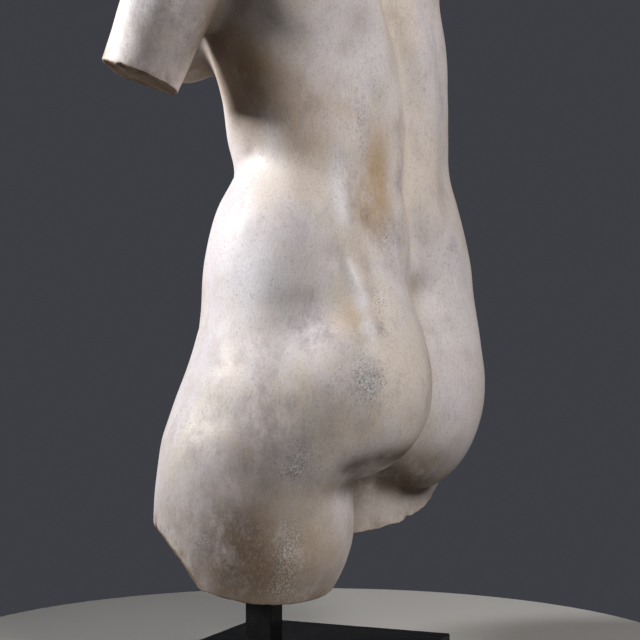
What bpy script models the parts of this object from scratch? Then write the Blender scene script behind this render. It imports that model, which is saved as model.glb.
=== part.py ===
"""A torso of Venus, broken at the neck, arms and thighs, on a square steel post and plate.

The torso is one solid of cast stone, shaped in its own frame: l runs to the figure's left,
b to its back, and z up from its lowest broken edge. Figure measures are in parts of the
torso's height, and one part is one millimetre at the modelled size. The finished object is
in metres, +Z up, with its origin at the middle of the plate's underside and the figure
facing -Y.
"""

import math

import bpy
import numpy as np

# Driving sizes, in metres
TORSO_HEIGHT = 0.750
TORSO_CLEARANCE = 0.054      # free height between the plate and the lowest broken edge
FIGURE_TURN_DEG = -6.0       # the figure's turn on its plate, seen from above
FIGURE_SHIFT = (-0.010, 0.018)
PLATE_SIDE = 0.200
PLATE_THICKNESS = 0.010
PLATE_BEVEL = 0.0012
POST_SIDE = 0.025
POST_BEVEL = 0.0010
POST_PLACE = (0.068, -0.013)
SOCKET_DEPTH = 0.150         # how far the post reaches into the thigh, from its lowest edge
FIT_GAP = 0.0004             # free space round the post in its socket and on its plate

# The figure's own measures
PARTS = 750.0
SCALE = TORSO_HEIGHT / PARTS
GRID_STEP = 10.0             # the size of the grid that the torso is drawn on
TORSO_RATIO = 0.45

LEFT, RIGHT = 1.0, -1.0


def blend_min(a, b, k):
    """The union of two distance fields, with a fillet about k wide."""
    h = np.clip(0.5 + 0.5 * (b - a) / k, 0.0, 1.0)
    return b * (1.0 - h) + a * h - k * h * (1.0 - h)


def blend_max(a, b, k):
    """What two distance fields have in common, with a rounded edge about k wide."""
    return -blend_min(-a, -b, k)


def smooth_step(low, high, x):
    t = np.clip((x - low) / (high - low), 0.0, 1.0)
    return t * t * (3.0 - 2.0 * t)


def spline(x, knots, values):
    """A smooth curve through values at knots, level past its ends."""
    knots = np.asarray(knots, float)
    values = np.asarray(values, float)
    slopes = np.gradient(values, knots)
    x = np.clip(x, knots[0], knots[-1])
    i = np.clip(np.searchsorted(knots, x) - 1, 0, len(knots) - 2)
    span = knots[i + 1] - knots[i]
    t = (x - knots[i]) / span
    low, high = values[i], values[i + 1]
    a, b = slopes[i] * span, slopes[i + 1] * span
    return (low * (2 * t**3 - 3 * t**2 + 1) + a * (t**3 - 2 * t**2 + t)
            + high * (3 * t**2 - 2 * t**3) + b * (t**3 - t**2))


def ellipsoid(p, centre, radii, roll_deg=0.0):
    """Distance to an ellipsoid, rolled about the b axis."""
    q = p - np.asarray(centre, float)
    if roll_deg:
        c, s = math.cos(math.radians(roll_deg)), math.sin(math.radians(roll_deg))
        q = np.stack([c * q[:, 0] + s * q[:, 2], q[:, 1], c * q[:, 2] - s * q[:, 0]], 1)
    r = np.asarray(radii, float)
    near = np.linalg.norm(q / r, axis=1)
    steep = np.linalg.norm(q / (r * r), axis=1)
    return near * (near - 1.0) / np.maximum(steep, 1e-9)


def limb(p, start, end, start_radius, end_radius):
    """Distance to a straight tapering limb with round ends."""
    start, end = np.asarray(start, float), np.asarray(end, float)
    along = end - start
    t = np.clip(((p - start) @ along) / (along @ along), 0.0, 1.0)
    centre = start + t[:, None] * along
    return np.linalg.norm(p - centre, axis=1) - (start_radius + (end_radius - start_radius) * t)


def loft(p, sections, front_power=2.0, back_power=2.0):
    """Distance to a form with level oval sections, squarer at a higher power.

    Each section is its z, its centre's l and b, its half width, and its depth to front and back.
    """
    rows = np.asarray(sections, float)
    z = p[:, 2]
    l0, b0, wide, front, back = (spline(z, rows[:, 0], rows[:, i]) for i in range(1, 6))
    l, b = p[:, 0] - l0, p[:, 1] - b0
    deep = np.where(b < 0, front, back)
    power = np.where(b < 0, front_power, back_power)
    ring = (np.abs(l / wide) ** power + np.abs(b / deep) ** power) ** (1.0 / power)
    reach = np.hypot(l, b)
    side = reach * (1.0 - 1.0 / np.maximum(ring, 1e-3))
    side = np.where(reach < 1e-6, -np.minimum(wide, deep), side)
    ends = np.maximum(rows[0, 0] - z, z - rows[-1, 0])
    return blend_max(side, ends, 20.0)


def swelling(p, centre, radii, height):
    """How far a soft mound lifts the surface, or sinks it where height is negative."""
    q = (p - np.asarray(centre, float)) / np.asarray(radii, float)
    return -height * np.exp(-np.minimum((q * q).sum(1), 60.0))


def smooth_line(points, pieces=12):
    """Points along a smooth curve through the given ones."""
    knots = np.arange(len(points))
    t = np.linspace(0.0, knots[-1], pieces + 1)
    points = np.asarray(points, float)
    return np.stack([spline(t, knots, points[:, i]) for i in range(3)], 1)


def path_distance(p, points):
    """Distance to a bent line, and how far along it, from 0 to 1, its nearest point lies."""
    best = np.full(len(p), 1e9)
    along = np.zeros(len(p))
    points = np.asarray(points, float)
    count = len(points) - 1
    for i in range(count):
        a, d = points[i], points[i + 1] - points[i]
        t = np.clip(((p - a) @ d) / (d @ d), 0.0, 1.0)
        far = np.linalg.norm(p - (a + t[:, None] * d), axis=1)
        nearer = far < best
        best = np.where(nearer, far, best)
        along = np.where(nearer, (i + t) / count, along)
    return best, along


def furrow(p, points, depth, width, fade=0.25):
    """A groove along a bent line, fading out at both ends; a negative depth makes a ridge."""
    line = smooth_line(points)
    room = 3.0 * width
    near = np.all((p > line.min(0) - room) & (p < line.max(0) + room), axis=1)
    lift = np.zeros(len(p))
    far, along = path_distance(p[near], line)
    ends = smooth_step(0.0, fade, along) * smooth_step(0.0, fade, 1.0 - along)
    lift[near] = depth * ends * np.exp(-((far / width) ** 2))
    return lift


TRUNK = (
    (116, 0, -10, 75, 62, 42),
    (151, 0, -10, 125, 82, 58),
    (186, -2, -8, 150, 94, 66),
    (226, -3, -6, 150, 100, 68),
    (260, -5, -4, 143, 96, 70),
    (287, -8, -2, 137, 94, 72),
    (328, -12, 2, 122, 88, 76),
    (373, -18, 3, 113, 83, 74),
    (406, -14, 1, 118, 82, 75),
    (441, -10, 0, 120, 81, 76),
    (486, -3, -4, 126, 86, 79),
    (531, 6, -8, 130, 90, 77),
    (576, 9, -11, 134, 90, 78),
    (616, 9, -12, 134, 80, 80),
    (646, 8, -10, 114, 64, 72),
    (676, 7, -4, 78, 52, 58),
    (701, 6, -2, 54, 48, 50),
)
LEFT_THIGH = (
    (-40, 94, -44, 66, 77, 48),
    (10, 90, -36, 78, 84, 78),
    (44, 88, -32, 83, 86, 89),
    (106, 89, -29, 83, 84, 90),
    (146, 86, -22, 82, 86, 84),
    (186, 80, -15, 69, 82, 62),
    (236, 76, -8, 40, 46, 36),
)
RIGHT_THIGH = (
    (-40, -78, -62, 80, 84, 84),
    (46, -79, -38, 81, 86, 86),
    (79, -80, -34, 81, 86, 86),
    (106, -80, -28, 80, 86, 82),
    (146, -78, -18, 76, 82, 74),
    (186, -76, -12, 64, 72, 60),
    (236, -72, -8, 40, 46, 36),
)
SPINE = ((200, -26), (262, -30), (316, -28), (354, -21), (391, -25), (436, -24), (481, -12),
         (526, 3), (571, 10), (626, 10), (686, 8))
CHEST_TURN = ((250, 0), (300, 3.5), (350, 8.5), (390, 10), (700, 10))


def spine_at(z):
    line = np.asarray(SPINE, float)
    return spline(z, line[:, 0], line[:, 1])


def turned_chest(p):
    """The points seen from the chest, which is turned on the hips; its axis is the trunk's."""
    rows = np.asarray(TRUNK, float)
    turn = np.asarray(CHEST_TURN, float)
    z = p[:, 2]
    angle = np.radians(spline(z, turn[:, 0], turn[:, 1]))
    l0, b0 = spline(z, rows[:, 0], rows[:, 1]), spline(z, rows[:, 0], rows[:, 2])
    l, b = p[:, 0] - l0, p[:, 1] - b0
    c, s = np.cos(angle), np.sin(angle)
    return np.stack([c * l - s * b + l0, s * l + c * b + b0, z], 1)


def pelvis(p, q):
    d = loft(q, TRUNK, 2.15, 2.4)
    thighs = blend_min(loft(p, LEFT_THIGH, 2.1, 2.1), loft(p, RIGHT_THIGH, 2.1, 2.1), 10.0)
    d = blend_min(d, thighs, 30.0)
    hip = ellipsoid(p, (83, -10, 306), (48, 57, 72))
    d = blend_min(d, hip, 34.0)
    left_low = ellipsoid(p, (66, 46, 186), (80, 81, 80))
    left_high = ellipsoid(p, (50, 46, 240), (58, 56, 74))
    left = blend_min(left_low, left_high, 34.0)
    right_low = ellipsoid(p, (-70, 33, 180), (78, 79, 103))
    right_high = ellipsoid(p, (-79, 33, 262), (67, 62, 108))
    right = blend_min(right_low, right_high, 26.0)
    seat = blend_min(left, right, 7.0)
    upper = smooth_step(180.0, 250.0, p[:, 2])
    outer = np.maximum(smooth_step(75.0, 135.0, p[:, 0]), smooth_step(100.0, 140.0, -p[:, 0]))
    return blend_min(d, seat, 9.0 + 19.0 * upper + 49.0 * outer * (1.0 - upper))


def shoulders(p, d):
    for side, z, b in ((LEFT, 614, -6), (RIGHT, 662, -24)):
        joint = (9 + side * 156, b, z)
        d = blend_min(d, ellipsoid(p, joint, (44, 44, 48)), 48.0)
        d = blend_min(d, limb(p, (9 + side * 60, 6, 672), (9 + side * 138, b + 16, z + 14), 32, 26), 38.0)
        d = blend_min(d, ellipsoid(p, (9 + side * 78, 46, z - 40), (56, 32, 72), side * 10.0), 30.0)
        d = blend_min(d, ellipsoid(p, (9 + side * 80, -62, z - 52), (58, 34, 46)), 30.0)
    neck = limb(p, (7, 4, 666), (3, -12, 745), 56, 50)
    return blend_min(d, neck, 30.0)


def arms(p, d):
    d = blend_min(d, limb(p, (151, -37, 608), (163, -109, 436), 45, 34), 22.0)
    return blend_min(d, limb(p, (-146, -6, 655), (-176, -14, 570), 44, 38), 16.0)


def breasts(p, d):
    for side, z in ((LEFT, 504), (RIGHT, 520)):
        l = 8 + side * 72
        full = ellipsoid(p, (l, -104, z), (50, 46, 48))
        slope = ellipsoid(p, (l - side * 4, -82, z + 36), (50, 36, 56))
        d = blend_min(d, blend_min(full, slope, 26.0), 20.0)
    return d


# Soft mounds and hollows: centre, radii, height
HIP_FORMS = (
    ((130, 46, 256), (30, 30, 24), -4.0),
    ((82, 46, 380), (56, 50, 84), 9.0),
    ((-26, 78, 272), (16, 18, 16), -6.0),
    ((150, -20, 118), (40, 60, 50), 3.0),
    ((-8, -80, 262), (60, 40, 46), 8.0),
    ((-9, -88, 311), (8, 14, 9), -9.0),
    ((0, -62, 146), (30, 26, 30), 8.0),
)
CHEST_FORMS = (
    ((80, -151, 508), (7, 8, 7), 5.0),
    ((-64, -151, 524), (7, 8, 7), 5.0),
    ((9, -60, 690), (12, 20, 14), -5.0),
)
# Furrows and ridges: depth, width, and the line each follows
HIP_LINES = (
    (-8.5, 14.0, ((60, 55, 428), (67, 53, 388), (76, 52, 350), (84, 57, 322), (88, 65, 300))),
    (-3.0, 7.0, ((86, 58, 318), (89, 66, 304), (93, 80, 278), (101, 96, 248), (106, 104, 222))),
    (2.5, 8.0, ((70, 72, 330), (75, 82, 296), (81, 92, 270), (90, 108, 236))),
    (2.0, 7.0, ((62, -68, 366), (80, -50, 378), (96, -32, 390), (106, -14, 402))),
    (3.0, 7.0, ((50, 84, 115), (84, 82, 117), (120, 68, 121))),
    (7.0, 5.0, ((12, 26, 106), (-8, 42, 91), (-41, 54, 84), (-92, 59, 84), (-116, 48, 88))),
    (5.0, 11.0, ((112, -50, 262), (70, -88, 206), (16, -82, 140))),
    (5.0, 11.0, ((-116, -46, 244), (-72, -84, 192), (-10, -82, 136))),
)
CHEST_LINES = (
    (5.0, 7.0, ((44, 70, 400), (50, 66, 366), (49, 70, 344), (52, 78, 316))),
    (-4.5, 8.0, ((54, 66, 412), (58, 65, 386), (65, 63, 362), (72, 61, 338))),
    (3.0, 10.0, ((-14, -80, 330), (-14, -80, 400), (-6, -88, 470))),
    (-2.5, 9.0, ((-8, -84, 462), (-56, -76, 424), (-92, -48, 392))),
    (-2.5, 9.0, ((-8, -84, 462), (36, -76, 420), (70, -50, 392))),
    (3.0, 10.0, ((9, -86, 500), (9, -90, 600), (9, -64, 680))),
    (-4.0, 7.0, ((22, -66, 672), (80, -58, 664), (140, -20, 640))),
    (-4.0, 7.0, ((-4, -66, 676), (-62, -58, 680), (-122, -26, 680))),
)


def modelling(p, q, d):
    """The muscles, folds and hollows that show from a step away."""
    at_back = smooth_step(0.0, 25.0, q[:, 1])
    off_spine = q[:, 0] - spine_at(q[:, 2])
    column = smooth_step(262.0, 322.0, q[:, 2]) * (1.0 - smooth_step(626.0, 686.0, q[:, 2])) * at_back
    d = d + 8.0 * column * np.exp(-((off_spine / 13.0) ** 2))
    for side in (LEFT, RIGHT):
        d = d - 5.0 * column * np.exp(-(((off_spine - side * 30.0) / 18.0) ** 2))
    for place, forms, lines in ((p, HIP_FORMS, HIP_LINES), (q, CHEST_FORMS, CHEST_LINES)):
        for centre, radii, height in forms:
            d = d + swelling(place, centre, radii, height)
        for depth, width, line in lines:
            d = d + furrow(place, line, depth, width)
    return d


# Broken ends: a point on the break, the way out of the stone, and how far the break reaches
BREAKS = {
    "left_thigh": ((84.0, -31.0, 19.0), (-0.058, -0.21, -1.0), (-110.0, 140.0), 170.0, 140.0),
    "left_thigh_chip": ((110.0, -86.0, 27.0), (0.75, -1.008, -1.0), (-140.0, 140.0), 170.0, 140.0),
    "right_thigh": ((-80.0, -35.0, 62.0), (-0.236, -0.009, -0.971), (-140.0, 89.0), 150.0, 160.0),
    "left_arm": ((165.0, -97.0, 459.5), (0.33, -0.27, -0.90), (-60.0, 60.0), 60.0, 90.0),
    "right_arm": ((-171.0, -13.0, 584.0), (-0.33, -0.09, -0.94), (-60.0, 41.0), 60.0, 90.0),
    "neck": ((3.0, -12.0, 744.0), (0.05, 0.10, 0.99), (-90.0, 90.0), 90.0, 90.0),
}


def figure(p):
    """Distance from points p to the unbroken torso's surface, in parts: negative inside."""
    q = turned_chest(p)
    d = pelvis(p, q)
    d = breasts(q, d)
    d = shoulders(q, d)
    d = arms(p, d)
    return modelling(p, q, d)


def break_frame(name):
    """The directions of a break: along l in its face, along b in its face, and out."""
    out = np.asarray(BREAKS[name][1], float)
    out /= np.linalg.norm(out)
    across = np.array((1.0, 0.0, 0.0)) - out[0] * out
    across /= np.linalg.norm(across)
    return across, np.cross(out, across), out


def surface_net(field, low, high, step):
    """A closed mesh of four-sided faces on the zero level of a distance field."""
    counts = [int(math.ceil((high[i] - low[i]) / step)) + 1 for i in range(3)]
    axes = [low[i] + step * np.arange(counts[i]) for i in range(3)]
    grid = np.stack(np.meshgrid(*axes, indexing="ij"), -1).reshape(-1, 3)
    value = field(grid).reshape(counts)
    least = 0.15 * step
    value = np.where(np.abs(value) < least, np.where(value < 0, -least, least), value)
    corner = np.array([(i, j, k) for i in (0, 1) for j in (0, 1) for k in (0, 1)])
    total = np.zeros([c - 1 for c in counts] + [3])
    hits = np.zeros([c - 1 for c in counts])
    window = [slice(0, c - 1) for c in counts]
    for a in range(8):
        for c in range(a + 1, 8):
            if np.abs(corner[a] - corner[c]).sum() != 1:
                continue
            va = value[tuple(slice(s.start + o, s.stop + o) for s, o in zip(window, corner[a]))]
            vc = value[tuple(slice(s.start + o, s.stop + o) for s, o in zip(window, corner[c]))]
            crossed = (va < 0) != (vc < 0)
            t = np.where(crossed, va / np.where(crossed, va - vc, 1.0), 0.0)
            total += crossed[..., None] * (corner[a] + t[..., None] * (corner[c] - corner[a]))
            hits += crossed
    used = hits > 0
    index = np.full(used.shape, -1)
    index[used] = np.arange(used.sum())
    points = np.argwhere(used) + total[used] / hits[used][:, None]
    points = np.asarray(low, float) + step * points
    faces = []
    for axis in range(3):
        u, v = (axis + 1) % 3, (axis + 2) % 3
        low_end = [slice(None)] * 3
        high_end = [slice(None)] * 3
        low_end[axis], high_end[axis] = slice(0, -1), slice(1, None)
        a, c = value[tuple(low_end)] < 0, value[tuple(high_end)] < 0
        edges = np.argwhere(a != c)
        inner = np.all((edges > 0)[:, [u, v]], axis=1) & np.all(
            edges[:, [u, v]] < np.array(counts)[[u, v]] - 1, axis=1)
        edges = edges[inner]
        facing = a[tuple(edges.T)]
        ring = []
        for du, dv in ((0, 0), (1, 0), (1, 1), (0, 1)):
            cell = edges.copy()
            cell[:, u] -= du
            cell[:, v] -= dv
            ring.append(index[tuple(cell.T)])
        ring = np.stack(ring, 1)
        faces.append(np.where(facing[:, None], ring, ring[:, ::-1]))
    return points, np.concatenate(faces)


def settle(field, points, rounds=3, probe=0.5):
    """Moves points onto the zero level along the field's slope."""
    for _ in range(rounds):
        d = field(points)
        slope = np.stack([field(points + probe * step) - field(points - probe * step)
                          for step in np.eye(3)], 1) / (2 * probe)
        size = np.maximum((slope * slope).sum(1), 0.25)
        points = points - np.clip(d / size, -4, 4)[:, None] * slope
    return points


def material(name, colour, roughness, metallic=0.0):
    made = bpy.data.materials.new(name)
    made.use_nodes = True
    shader = made.node_tree.nodes["Principled BSDF"]
    shader.inputs["Base Color"].default_value = (*colour, 1.0)
    shader.inputs["Roughness"].default_value = roughness
    shader.inputs["Metallic"].default_value = metallic
    return made


def add_mesh(name, points, faces, finish=None):
    mesh = bpy.data.meshes.new(name)
    mesh.from_pydata([tuple(v) for v in points], [], [tuple(int(i) for i in f) for f in faces])
    mesh.validate()
    made = bpy.data.objects.new(name, mesh)
    bpy.context.scene.collection.objects.link(made)
    if finish:
        mesh.materials.append(finish)
    return made


def add_box(name, low, high, finish=None, bevel=0.0):
    corners = [(x, y, z) for x in (low[0], high[0]) for y in (low[1], high[1]) for z in (low[2], high[2])]
    sides = [(0, 1, 3, 2), (4, 6, 7, 5), (0, 4, 5, 1), (2, 3, 7, 6), (0, 2, 6, 4), (1, 5, 7, 3)]
    made = add_mesh(name, corners, sides, finish)
    if bevel:
        rounding = made.modifiers.new("rounded edges", "BEVEL")
        rounding.width = bevel
        rounding.segments = 2
    return made


def placed(points):
    """Points of the figure's own frame, in parts, at their place in the finished object."""
    points = np.asarray(points, float) * SCALE
    turn = math.radians(FIGURE_TURN_DEG)
    c, s = math.cos(turn), math.sin(turn)
    x = c * points[:, 0] - s * points[:, 1] + FIGURE_SHIFT[0]
    y = s * points[:, 0] + c * points[:, 1] + FIGURE_SHIFT[1]
    return np.stack([x, y, points[:, 2] + PLATE_THICKNESS + TORSO_CLEARANCE], 1)


def cut_away(torso, cutter, name):
    cutter.hide_render = True
    cutter.display_type = "WIRE"
    cut = torso.modifiers.new(name, "BOOLEAN")
    cut.operation = "DIFFERENCE"
    cut.solver = "EXACT"
    cut.object = cutter


def add_break(torso, name):
    """Takes off what lies past one broken end."""
    point, _, (low, high), half_depth, length = BREAKS[name]
    across, along, out = break_frame(name)
    corners = [np.asarray(point) + u * across + v * along + w * out
               for u in (low, high) for v in (-half_depth, half_depth) for w in (0.0, length)]
    sides = [(0, 1, 3, 2), (4, 6, 7, 5), (0, 4, 5, 1), (2, 3, 7, 6), (0, 2, 6, 4), (1, 5, 7, 3)]
    cutter = add_mesh(name + "_cutter", placed(corners), sides)
    cut_away(torso, cutter, name.replace("_", " ") + " break")


def keep_cuts(torso):
    """Applies the cuts, and leaves crisp edges round the breaks on the smooth carving."""
    view = bpy.context.evaluated_depsgraph_get()
    cut = bpy.data.meshes.new_from_object(torso.evaluated_get(view))
    torso.modifiers.clear()
    torso.data = cut
    cut.shade_smooth()
    cut.set_sharp_from_angle(angle=math.radians(38.0))


def add_torso(finish):
    low, high = (-250.0, -200.0, -143.0), (290.0, 180.0, 830.0)
    points, faces = surface_net(figure, low, high, GRID_STEP)
    torso = add_mesh("torso", placed(settle(figure, points)), faces, finish)
    fewer = torso.modifiers.new("fewer faces", "DECIMATE")
    fewer.ratio = TORSO_RATIO
    for name in BREAKS:
        add_break(torso, name)
    return torso


def main():
    for old in list(bpy.data.objects):
        bpy.data.objects.remove(old)
    stone = material("cast stone", (0.62, 0.57, 0.50), 0.75)
    steel = material("black steel", (0.012, 0.012, 0.013), 0.45, 0.6)
    half = PLATE_SIDE / 2
    add_box("base_plate", (-half, -half, 0.0), (half, half, PLATE_THICKNESS), steel, PLATE_BEVEL)
    post_foot = PLATE_THICKNESS + FIT_GAP
    torso_foot = PLATE_THICKNESS + TORSO_CLEARANCE
    post_top = torso_foot + SOCKET_DEPTH
    x, y = POST_PLACE
    grip = POST_SIDE / 2
    add_box("post", (x - grip, y - grip, post_foot), (x + grip, y + grip, post_top), steel, POST_BEVEL)
    torso = add_torso(stone)
    room = grip + FIT_GAP
    socket_top = post_top + FIT_GAP
    socket = add_box("post_socket_cutter", (x - room, y - room, -0.05), (x + room, y + room, socket_top))
    cut_away(torso, socket, "post socket")
    keep_cuts(torso)


main()
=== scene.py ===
"""The looks of a broken torso of Venus on its square steel post and plate.

The carving is drawn as a distance field in the figure's own frame, the same one that the
solid follows: l runs to the figure's left, b to its back, and z up from the lowest broken
edge, in parts of which one is a millimetre. The fine mesh adds the rough breaks, worn rims,
chips and crust, and the stone's weathering is painted by nodes from what each point lies on,
with painted shade in its folds, hollows and shadowed places and painted highlights and
painted light on its lit places.
"""

import math

import bmesh
import bpy
import numpy as np
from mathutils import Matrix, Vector


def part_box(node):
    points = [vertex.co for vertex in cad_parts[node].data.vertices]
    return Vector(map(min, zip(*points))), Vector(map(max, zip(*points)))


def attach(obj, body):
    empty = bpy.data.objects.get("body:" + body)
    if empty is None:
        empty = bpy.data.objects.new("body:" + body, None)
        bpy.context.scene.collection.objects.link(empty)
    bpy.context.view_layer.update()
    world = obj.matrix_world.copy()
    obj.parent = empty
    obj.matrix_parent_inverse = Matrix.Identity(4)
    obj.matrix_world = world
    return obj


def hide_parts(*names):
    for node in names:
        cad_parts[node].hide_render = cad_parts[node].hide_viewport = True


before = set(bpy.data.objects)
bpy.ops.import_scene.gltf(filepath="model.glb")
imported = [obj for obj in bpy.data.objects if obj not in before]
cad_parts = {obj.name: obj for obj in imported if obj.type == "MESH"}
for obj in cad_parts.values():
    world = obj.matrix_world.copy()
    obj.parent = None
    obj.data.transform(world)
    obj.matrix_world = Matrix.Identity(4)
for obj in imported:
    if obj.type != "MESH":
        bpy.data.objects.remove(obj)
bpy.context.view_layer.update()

# The torso's place, in metres
TORSO_HEIGHT = 0.750
TORSO_CLEARANCE = 0.054      # free height between the plate and the lowest broken edge
FIGURE_TURN_DEG = -6.0       # the figure's turn on its plate, seen from above
FIGURE_SHIFT = (-0.010, 0.018)
PLATE_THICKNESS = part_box("base_plate")[1].z
SOCKET_ROOM = 0.0011         # free space round the post where it goes into the thigh
FLOOR_RADIUS = 0.36
FLOOR_CORNERS = 96
STUDIO_DARK = (0.046, 0.049, 0.057, 1.0)
SHARP_EDGE_DEG = 60.0

# The photograph's camera, which looks at the figure's back from its left
IMAGE_SIDE = 640
FOCAL_PIXELS = 2621.0
HORIZON_ROW = 145.8
SENSOR_MM = 36.0
VIEW_TURN_DEG = 23.8
VIEW_DISTANCE = 2.368        # along the level line of sight, from the camera to the plate's centre
VIEW_ASIDE = -0.0105         # how far the plate's centre lies to the right of that line
EYE_HEIGHT = 0.4535          # above the plate

# The figure's own measures
PARTS = 750.0
SCALE = TORSO_HEIGHT / PARTS
GRID_STEP = 4.4
BLOCK = 4                    # grid cells along a block that is looked at as a whole
LOW, HIGH = (-232.0, -180.0, -14.0), (262.0, 158.0, 772.0)

LEFT, RIGHT = 1.0, -1.0


def blend_min(a, b, k):
    """The union of two distance fields, with a fillet about k wide."""
    h = np.clip(0.5 + 0.5 * (b - a) / k, 0.0, 1.0)
    return b * (1.0 - h) + a * h - k * h * (1.0 - h)


def blend_max(a, b, k):
    """What two distance fields have in common, with a rounded edge about k wide."""
    return -blend_min(-a, -b, k)


def smooth_step(low, high, x):
    t = np.clip((x - low) / (high - low), 0.0, 1.0)
    return t * t * (3.0 - 2.0 * t)


def spline(x, knots, values):
    """A smooth curve through values at knots, level past its ends."""
    knots = np.asarray(knots, float)
    values = np.asarray(values, float)
    slopes = np.gradient(values, knots)
    x = np.clip(x, knots[0], knots[-1])
    i = np.clip(np.searchsorted(knots, x) - 1, 0, len(knots) - 2)
    span = knots[i + 1] - knots[i]
    t = (x - knots[i]) / span
    low, high = values[i], values[i + 1]
    a, b = slopes[i] * span, slopes[i + 1] * span
    return (low * (2 * t**3 - 3 * t**2 + 1) + a * (t**3 - 2 * t**2 + t)
            + high * (3 * t**2 - 2 * t**3) + b * (t**3 - t**2))


def ellipsoid(p, centre, radii, roll_deg=0.0):
    """Distance to an ellipsoid, rolled about the b axis."""
    q = p - np.asarray(centre, float)
    if roll_deg:
        c, s = math.cos(math.radians(roll_deg)), math.sin(math.radians(roll_deg))
        q = np.stack([c * q[:, 0] + s * q[:, 2], q[:, 1], c * q[:, 2] - s * q[:, 0]], 1)
    r = np.asarray(radii, float)
    near = np.linalg.norm(q / r, axis=1)
    steep = np.linalg.norm(q / (r * r), axis=1)
    return near * (near - 1.0) / np.maximum(steep, 1e-9)


def limb(p, start, end, start_radius, end_radius):
    """Distance to a straight tapering limb with round ends."""
    start, end = np.asarray(start, float), np.asarray(end, float)
    along = end - start
    t = np.clip(((p - start) @ along) / (along @ along), 0.0, 1.0)
    centre = start + t[:, None] * along
    return np.linalg.norm(p - centre, axis=1) - (start_radius + (end_radius - start_radius) * t)


def loft(p, sections, front_power=2.0, back_power=2.0):
    """Distance to a form with level oval sections, squarer at a higher power.

    Each section is its z, its centre's l and b, its half width, and its depth to front and back.
    """
    rows = np.asarray(sections, float)
    z = p[:, 2]
    l0, b0, wide, front, back = (spline(z, rows[:, 0], rows[:, i]) for i in range(1, 6))
    l, b = p[:, 0] - l0, p[:, 1] - b0
    deep = np.where(b < 0, front, back)
    power = np.where(b < 0, front_power, back_power)
    ring = (np.abs(l / wide) ** power + np.abs(b / deep) ** power) ** (1.0 / power)
    reach = np.hypot(l, b)
    side = reach * (1.0 - 1.0 / np.maximum(ring, 1e-3))
    side = np.where(reach < 1e-6, -np.minimum(wide, deep), side)
    ends = np.maximum(rows[0, 0] - z, z - rows[-1, 0])
    return blend_max(side, ends, 20.0)


def swelling(p, centre, radii, height):
    """How far a soft mound lifts the surface, or sinks it where height is negative."""
    q = (p - np.asarray(centre, float)) / np.asarray(radii, float)
    return -height * np.exp(-np.minimum((q * q).sum(1), 60.0))


def smooth_line(points, pieces=12):
    """Points along a smooth curve through the given ones."""
    knots = np.arange(len(points))
    t = np.linspace(0.0, knots[-1], pieces + 1)
    points = np.asarray(points, float)
    return np.stack([spline(t, knots, points[:, i]) for i in range(3)], 1)


def path_distance(p, points):
    """Distance to a bent line, and how far along it, from 0 to 1, its nearest point lies."""
    best = np.full(len(p), 1e9)
    along = np.zeros(len(p))
    points = np.asarray(points, float)
    count = len(points) - 1
    for i in range(count):
        a, d = points[i], points[i + 1] - points[i]
        t = np.clip(((p - a) @ d) / (d @ d), 0.0, 1.0)
        far = np.linalg.norm(p - (a + t[:, None] * d), axis=1)
        nearer = far < best
        best = np.where(nearer, far, best)
        along = np.where(nearer, (i + t) / count, along)
    return best, along


def furrow(p, points, depth, width, fade=0.25):
    """A groove along a bent line, fading out at both ends; a negative depth makes a ridge."""
    line = smooth_line(points)
    room = 3.0 * width
    near = np.all((p > line.min(0) - room) & (p < line.max(0) + room), axis=1)
    lift = np.zeros(len(p))
    far, along = path_distance(p[near], line)
    ends = smooth_step(0.0, fade, along) * smooth_step(0.0, fade, 1.0 - along)
    lift[near] = depth * ends * np.exp(-((far / width) ** 2))
    return lift


TRUNK = (
    (116, 0, -10, 75, 62, 42),
    (151, 0, -10, 125, 82, 58),
    (186, -2, -8, 150, 94, 66),
    (226, -3, -6, 150, 100, 68),
    (260, -5, -4, 143, 96, 70),
    (287, -8, -2, 137, 94, 72),
    (328, -12, 2, 122, 88, 76),
    (373, -18, 3, 113, 83, 74),
    (406, -14, 1, 118, 82, 75),
    (441, -10, 0, 120, 81, 76),
    (486, -3, -4, 126, 86, 79),
    (531, 6, -8, 130, 90, 77),
    (576, 9, -11, 134, 90, 78),
    (616, 9, -12, 134, 80, 80),
    (646, 8, -10, 114, 64, 72),
    (676, 7, -4, 78, 52, 58),
    (701, 6, -2, 54, 48, 50),
)
LEFT_THIGH = (
    (-40, 94, -44, 66, 77, 48),
    (10, 90, -36, 78, 84, 78),
    (44, 88, -32, 83, 86, 89),
    (106, 89, -29, 83, 84, 90),
    (146, 86, -22, 82, 86, 84),
    (186, 80, -15, 69, 82, 62),
    (236, 76, -8, 40, 46, 36),
)
RIGHT_THIGH = (
    (-40, -78, -62, 80, 84, 84),
    (46, -79, -38, 81, 86, 86),
    (79, -80, -34, 81, 86, 86),
    (106, -80, -28, 80, 86, 82),
    (146, -78, -18, 76, 82, 74),
    (186, -76, -12, 64, 72, 60),
    (236, -72, -8, 40, 46, 36),
)
SPINE = ((200, -26), (262, -30), (316, -28), (354, -21), (391, -25), (436, -24), (481, -12),
         (526, 3), (571, 10), (626, 10), (686, 8))
CHEST_TURN = ((250, 0), (300, 3.5), (350, 8.5), (390, 10), (700, 10))


def spine_at(z):
    line = np.asarray(SPINE, float)
    return spline(z, line[:, 0], line[:, 1])


def turned_chest(p):
    """The points seen from the chest, which is turned on the hips; its axis is the trunk's."""
    rows = np.asarray(TRUNK, float)
    turn = np.asarray(CHEST_TURN, float)
    z = p[:, 2]
    angle = np.radians(spline(z, turn[:, 0], turn[:, 1]))
    l0, b0 = spline(z, rows[:, 0], rows[:, 1]), spline(z, rows[:, 0], rows[:, 2])
    l, b = p[:, 0] - l0, p[:, 1] - b0
    c, s = np.cos(angle), np.sin(angle)
    return np.stack([c * l - s * b + l0, s * l + c * b + b0, z], 1)


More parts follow.
